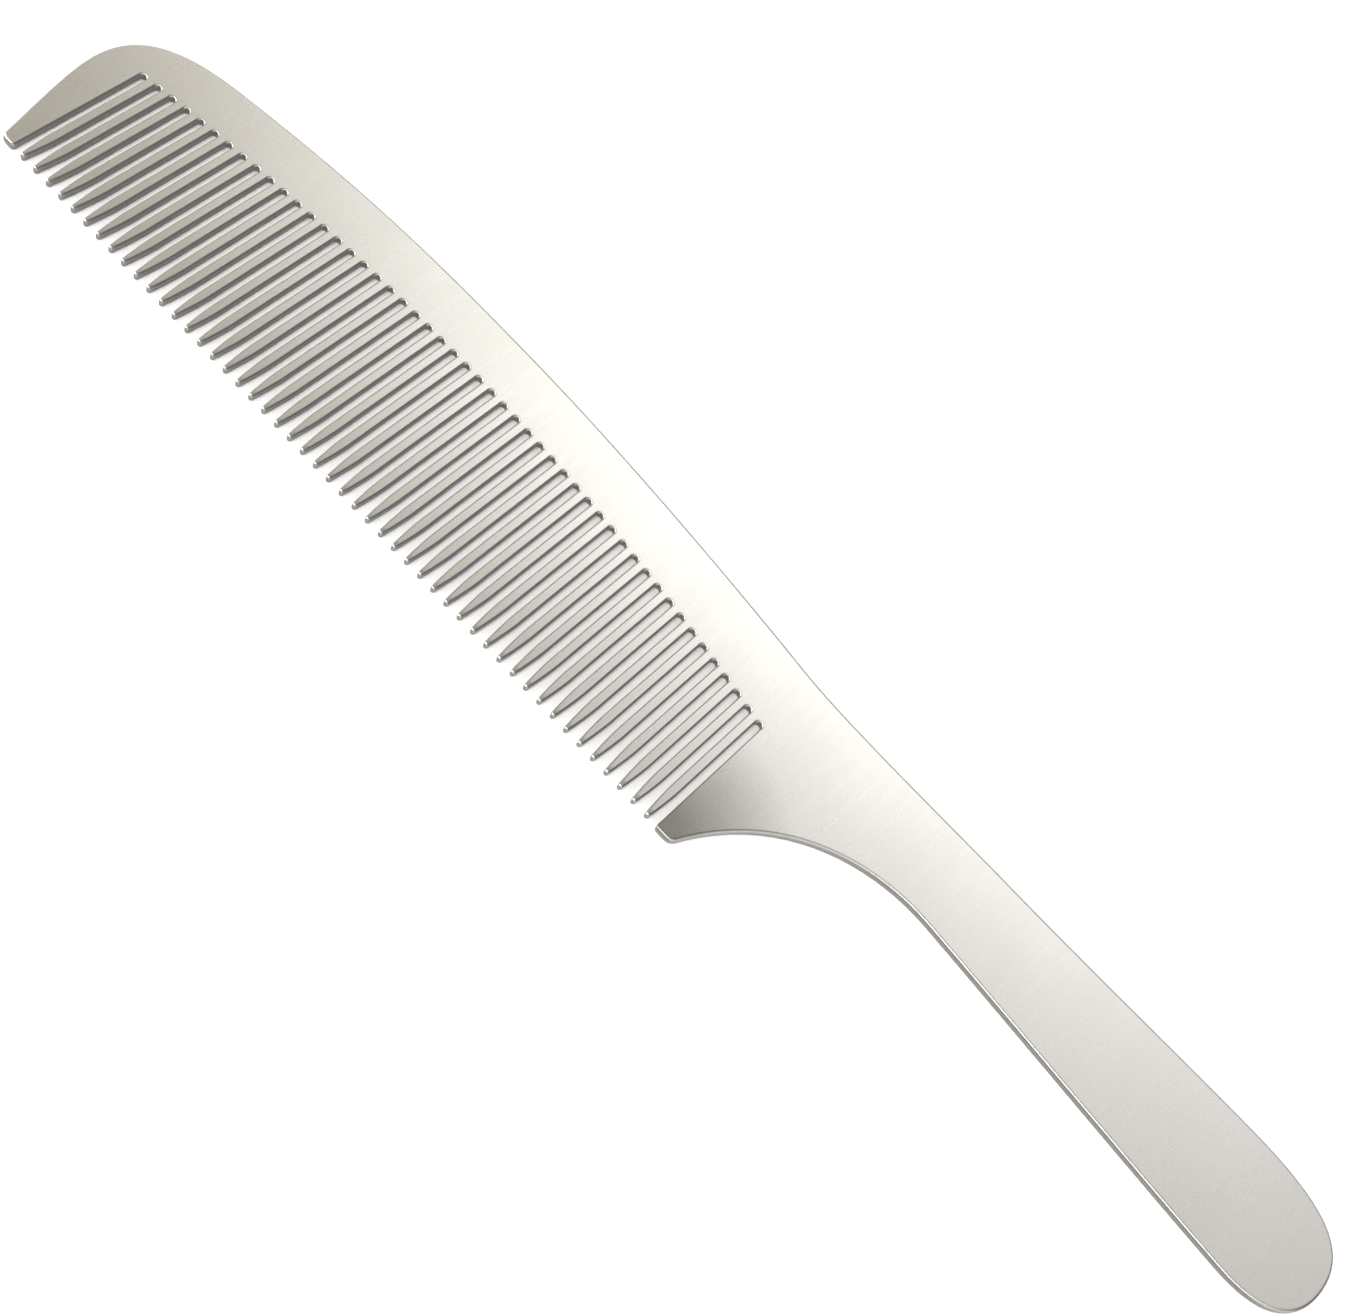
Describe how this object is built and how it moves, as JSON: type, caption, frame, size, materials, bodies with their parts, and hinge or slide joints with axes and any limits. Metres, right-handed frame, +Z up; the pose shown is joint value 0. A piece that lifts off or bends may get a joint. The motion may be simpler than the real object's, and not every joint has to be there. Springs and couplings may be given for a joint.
{
  "type": "steel grooming comb",
  "caption": "Flat steel comb: a row of long parallel round-tipped teeth between end guards under an arched spine, drawn out into a smooth rounded handle.",
  "frame": {"origin": "middle of the underside's bounding box, with the comb lying on its flat face", "axes": "+X from the front guard to the end of the handle, teeth point to -Y, +Z up through the plate"},
  "size_m": [0.2118, 0.0322, 0.0012],
  "materials": {
    "steel": "satin stainless plate, very fine grain running across the comb, polished edges and tooth tips"
  },
  "bodies": {
    "root": {"front_guard": "steel", "heel_guard": "steel", "spine": "steel", "handle": "steel", "tooth_01": "steel", "tooth_02": "steel", "tooth_03": "steel", "tooth_04": "steel", "tooth_05": "steel", "tooth_06": "steel", "tooth_07": "steel", "tooth_08": "steel", "tooth_09": "steel", "tooth_10": "steel", "tooth_11": "steel", "tooth_12": "steel", "tooth_13": "steel", "tooth_14": "steel", "tooth_15": "steel", "tooth_16": "steel", "tooth_17": "steel", "tooth_18": "steel", "tooth_19": "steel", "tooth_20": "steel", "tooth_21": "steel", "tooth_22": "steel", "tooth_23": "steel", "tooth_24": "steel", "tooth_25": "steel", "tooth_26": "steel", "tooth_27": "steel", "tooth_28": "steel", "tooth_29": "steel", "tooth_30": "steel", "tooth_31": "steel", "tooth_32": "steel", "tooth_33": "steel", "tooth_34": "steel", "tooth_35": "steel", "tooth_36": "steel", "tooth_37": "steel", "tooth_38": "steel", "tooth_39": "steel", "tooth_40": "steel", "tooth_41": "steel", "tooth_42": "steel", "tooth_43": "steel", "tooth_44": "steel", "tooth_45": "steel", "tooth_46": "steel", "tooth_47": "steel", "tooth_48": "steel", "tooth_49": "steel"}
  },
  "joints": []
}
